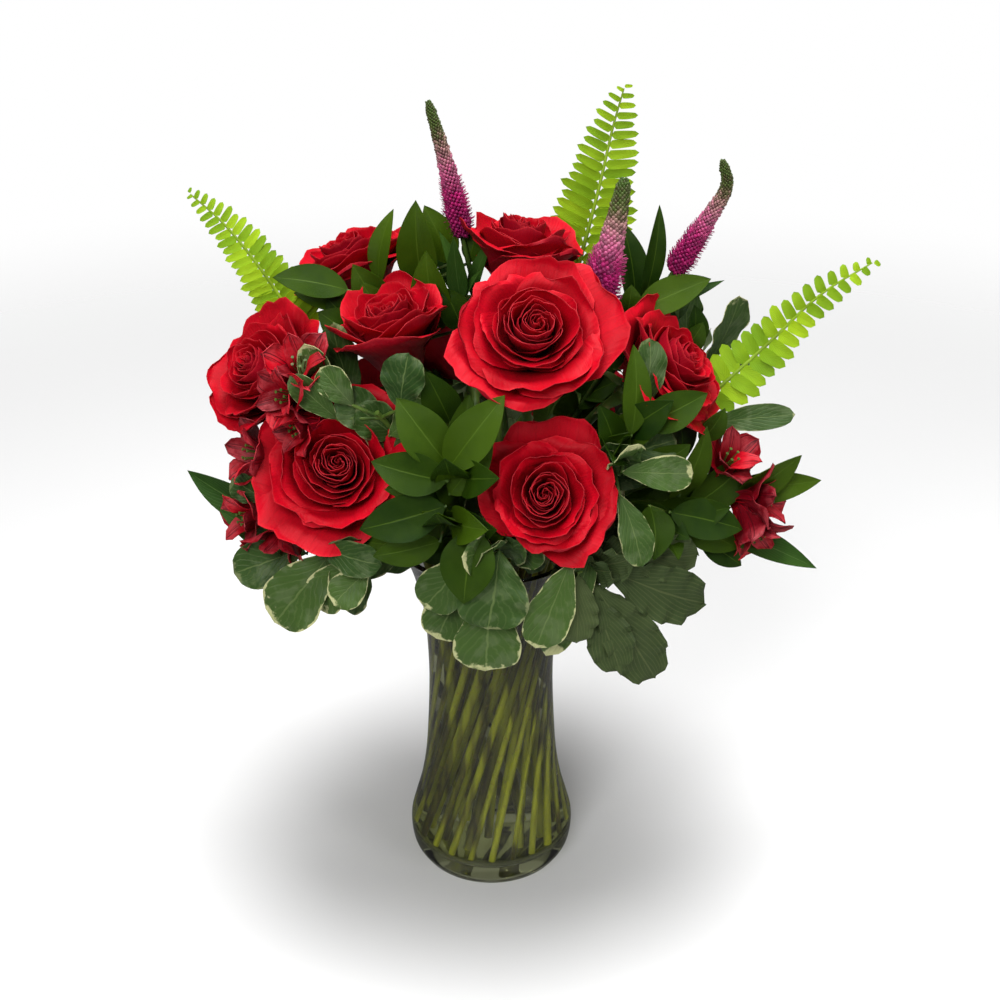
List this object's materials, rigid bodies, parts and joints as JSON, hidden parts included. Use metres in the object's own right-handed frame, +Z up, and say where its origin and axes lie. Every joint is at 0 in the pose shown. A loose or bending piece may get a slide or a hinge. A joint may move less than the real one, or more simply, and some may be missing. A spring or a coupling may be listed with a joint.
{
  "type": "bouquet of flowers",
  "caption": "Arranged bouquet in a waisted clear vase of water: open roses, flower spikes, fern fronds, small lilies and leafy sprigs. The arrangement stands on its own.",
  "frame": {"origin": "on the surface that the vase stands on, at the centre of the vase's foot", "axes": "+Z up along the vase's axis, -Y towards the side that the arrangement faces, +X to the right as seen from the front"},
  "size_m": [0.3665, 0.2445, 0.466],
  "materials": {
    "glass": "polished",
    "water": "gloss",
    "rose_petal": "satin",
    "rose_stem": "satin",
    "speedwell_flower": "matte",
    "green_stem": "satin",
    "lily_petal": "satin",
    "fern_frond": "satin",
    "ruscus_leaf": "satin",
    "pittosporum_leaf": "satin"
  },
  "bodies": {
    "root": {"vase": "glass", "water": "water", "rose_front_top_bloom": "rose_petal", "rose_front_top_stem": "rose_stem", "rose_front_low_bloom": "rose_petal", "rose_front_low_stem": "rose_stem", "rose_front_left_bloom": "rose_petal", "rose_front_left_stem": "rose_stem", "rose_top_left_bloom": "rose_petal", "rose_top_left_stem": "rose_stem", "rose_side_left_bloom": "rose_petal", "rose_side_left_stem": "rose_stem", "rose_top_back_left_bloom": "rose_petal", "rose_top_back_left_stem": "rose_stem", "rose_top_back_bloom": "rose_petal", "rose_top_back_stem": "rose_stem", "rose_side_right_bloom": "rose_petal", "rose_side_right_stem": "rose_stem", "rose_back_right_bloom": "rose_petal", "rose_back_right_stem": "rose_stem", "rose_back_bloom": "rose_petal", "rose_back_stem": "rose_stem", "rose_back_low_left_bloom": "rose_petal", "rose_back_low_left_stem": "rose_stem", "rose_back_low_right_bloom": "rose_petal", "rose_back_low_right_stem": "rose_stem", "speedwell_left_spike": "speedwell_flower", "speedwell_left_stem": "green_stem", "speedwell_centre_spike": "speedwell_flower", "speedwell_centre_stem": "green_stem", "speedwell_right_spike": "speedwell_flower", "speedwell_right_stem": "green_stem", "lily_left_top_florets": "lily_petal", "lily_left_top_stem": "green_stem", "lily_left_low_florets": "lily_petal", "lily_left_low_stem": "green_stem", "lily_right_florets": "lily_petal", "lily_right_stem": "green_stem", "lily_back_florets": "lily_petal", "lily_back_stem": "green_stem", "fern_left": "fern_frond", "fern_top": "fern_frond", "fern_right": "fern_frond", "ruscus_front_centre": "ruscus_leaf", "ruscus_front_left": "ruscus_leaf", "ruscus_top_right": "ruscus_leaf", "ruscus_top_back": "ruscus_leaf", "ruscus_right": "ruscus_leaf", "ruscus_top_left": "ruscus_leaf", "ruscus_back_left": "ruscus_leaf", "pittosporum_front_low": "pittosporum_leaf", "pittosporum_front_right": "pittosporum_leaf", "pittosporum_right_low": "pittosporum_leaf", "pittosporum_right_back": "pittosporum_leaf", "pittosporum_back": "pittosporum_leaf", "pittosporum_back_left": "pittosporum_leaf", "pittosporum_left_low": "pittosporum_leaf", "pittosporum_centre_left": "pittosporum_leaf"}
  },
  "joints": []
}
